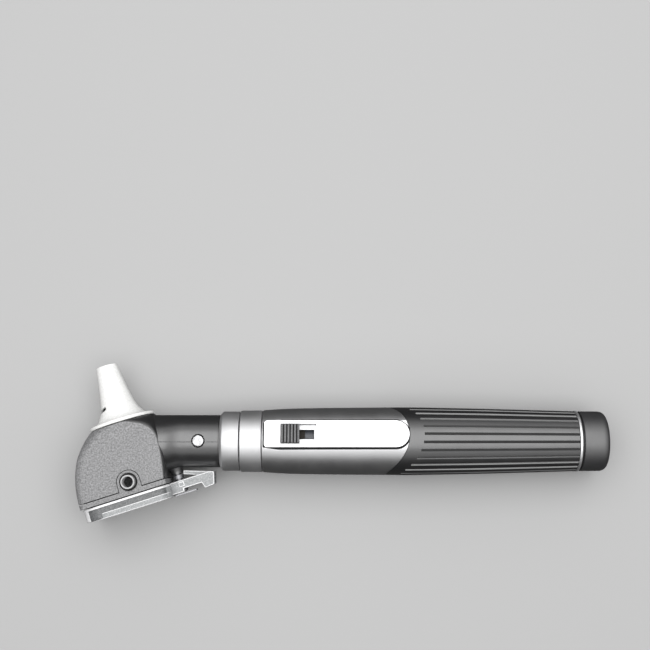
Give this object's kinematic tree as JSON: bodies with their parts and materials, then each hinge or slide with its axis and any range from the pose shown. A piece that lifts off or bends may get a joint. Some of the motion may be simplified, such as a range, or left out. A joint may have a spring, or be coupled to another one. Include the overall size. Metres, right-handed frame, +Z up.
{
  "type": "pocket otoscope",
  "caption": "Hand-held ear examination light: lit head with funnel tip, swinging magnifier window, air port, slide switch with pocket clip, fluted battery handle with screw cap.",
  "frame": {"origin": "centre of the bounding box on the surface that the object lies on", "axes": "+X along the handle towards the screw cap, +Y towards the speculum, +Z up, the side with the air port"},
  "size_m": [0.163, 0.0496, 0.0227],
  "materials": {
    "black_plastic": "satin",
    "satin_metal": "satin",
    "bright_metal": "gloss",
    "spring_steel": "satin",
    "brass": "satin",
    "white_plastic": "satin",
    "clear_plastic": "gloss",
    "clear_lens": "gloss",
    "black_rubber": "matte",
    "glass_fibre": "gloss",
    "cell_wrap": "satin"
  },
  "bodies": {
    "handle": {"top_ring": "satin_metal", "metal_sleeve": "satin_metal", "battery_tube": "satin_metal", "grip": "black_plastic", "chrome_ring": "bright_metal", "cap_seal": "black_rubber", "contact_carrier": "white_plastic", "contact_plunger": "brass", "contact_spring": "spring_steel", "battery_1": "cell_wrap", "battery_2": "cell_wrap", "clip_screw": "spring_steel"},
    "head": {"head_housing": "black_plastic", "window_base": "black_plastic", "window_seal": "black_rubber", "insufflation_port": "black_plastic", "port_seal": "black_rubber", "speculum_cone": "black_plastic", "fibre_bundle": "glass_fibre", "fibre_tip_ring": "glass_fibre", "lamp_module": "bright_metal", "lamp_insulator": "white_plastic", "lamp_pin": "brass", "coupling_insert": "brass", "neck_lock_pin": "bright_metal", "collar": "satin_metal", "pivot_pin": "spring_steel"},
    "window": {"window_carrier": "clear_plastic", "magnifier_lens": "clear_lens", "window_leaf": "spring_steel"},
    "speculum": {"speculum": "white_plastic"},
    "switch": {"switch_knob": "black_plastic", "switch_slider": "brass"},
    "clip": {"pocket_clip": "satin_metal"},
    "cap": {"cap_contact": "spring_steel", "cap_spring": "spring_steel", "end_cap": "black_plastic"}
  },
  "joints": [
    {"name": "head_twist", "type": "hinge", "parent": "handle", "child": "head", "pos_m": [-0.0319, 0.00048, 0.0105], "axis": [1, 0, 0], "range_deg": [0, 90]},
    {"name": "window_swivel", "type": "hinge", "parent": "head", "child": "window", "pos_m": [-0.0509, -0.01178, 0.0105], "axis": [-0.3007, 0.9537, 0], "range_deg": [-90, 90]},
    {"name": "speculum_pull", "type": "slide", "parent": "head", "child": "speculum", "axis": [-0.3007, 0.9537, 0], "range_m": [0, 0.02]},
    {"name": "switch_slide", "type": "slide", "parent": "handle", "child": "switch", "axis": [1, 0, 0], "range_m": [0, 0.0045]},
    {"name": "clip_flex", "type": "hinge", "parent": "handle", "child": "clip", "pos_m": [-0.0234, 0.00244, 0.0199], "axis": [0, -0.9789, 0.2045], "range_deg": [0, 3.5], "stiffness_Nm_per_rad": 8},
    {"name": "cap_turn", "type": "hinge", "parent": "handle", "child": "cap", "pos_m": [0.0771, 0.00048, 0.0105], "axis": [1, 0, 0], "range_deg": [0, 1440]}
  ]
}
